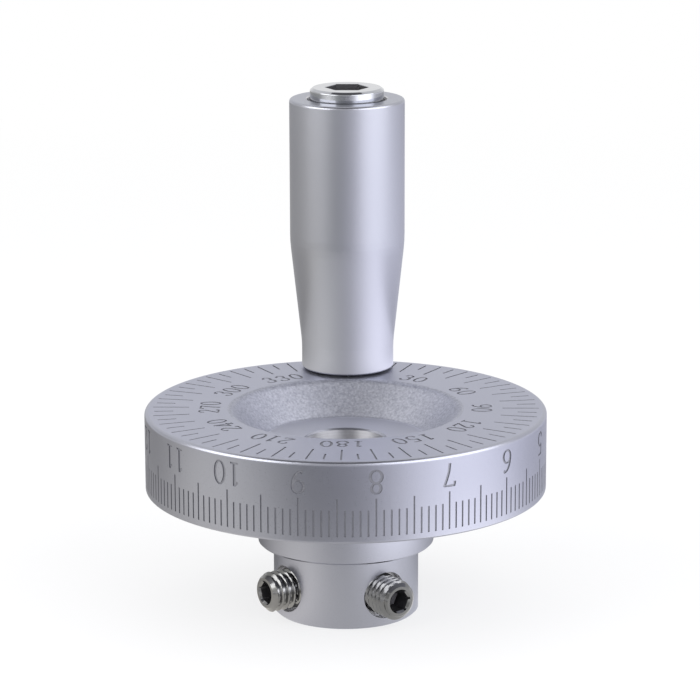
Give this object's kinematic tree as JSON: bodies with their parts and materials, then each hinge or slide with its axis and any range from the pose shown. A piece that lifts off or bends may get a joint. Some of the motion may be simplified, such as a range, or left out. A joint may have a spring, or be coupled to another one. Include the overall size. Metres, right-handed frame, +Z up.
{
  "type": "crank handwheel",
  "caption": "Graduated aluminium handwheel with a dished dial face, a through-bored hub clamped by set screws, and a revolving crank handle near the rim.",
  "frame": {"origin": "on the axis of the shaft bore, at the hub's end face", "axes": "+Z up the wheel's axis towards the dial face, the crank handle on the +Y side, the dial's 180 degree mark on the -Y side"},
  "size_m": [0.06, 0.0637, 0.0755],
  "materials": {
    "wheel_aluminium": "satin clear anodised",
    "grip_aluminium": "satin clear anodised, turned",
    "chromed_steel": "bright chrome plated",
    "washer_steel": "plain rolled",
    "screw_steel": "bright machined thread"
  },
  "bodies": {
    "wheel": {"wheel": "wheel_aluminium", "handle_screw": "chromed_steel", "thrust_washer": "washer_steel"},
    "handle": {"handle_grip": "grip_aluminium"},
    "left_screw": {"set_screw_left": "screw_steel"},
    "right_screw": {"set_screw_right": "screw_steel"}
  },
  "joints": [
    {"name": "handle_spin", "type": "hinge", "parent": "wheel", "child": "handle", "pos_m": [0, 0.02485, 0.0314], "axis": [0, 0, 1], "continuous": true},
    {"name": "left_screw_travel", "type": "slide", "parent": "wheel", "child": "left_screw", "axis": [0.829, 0.5592, 0], "range_m": [-0.0025, 0.00045]},
    {"name": "right_screw_travel", "type": "slide", "parent": "wheel", "child": "right_screw", "axis": [-0.5592, 0.829, 0], "range_m": [-0.0024, 0.00055]}
  ]
}
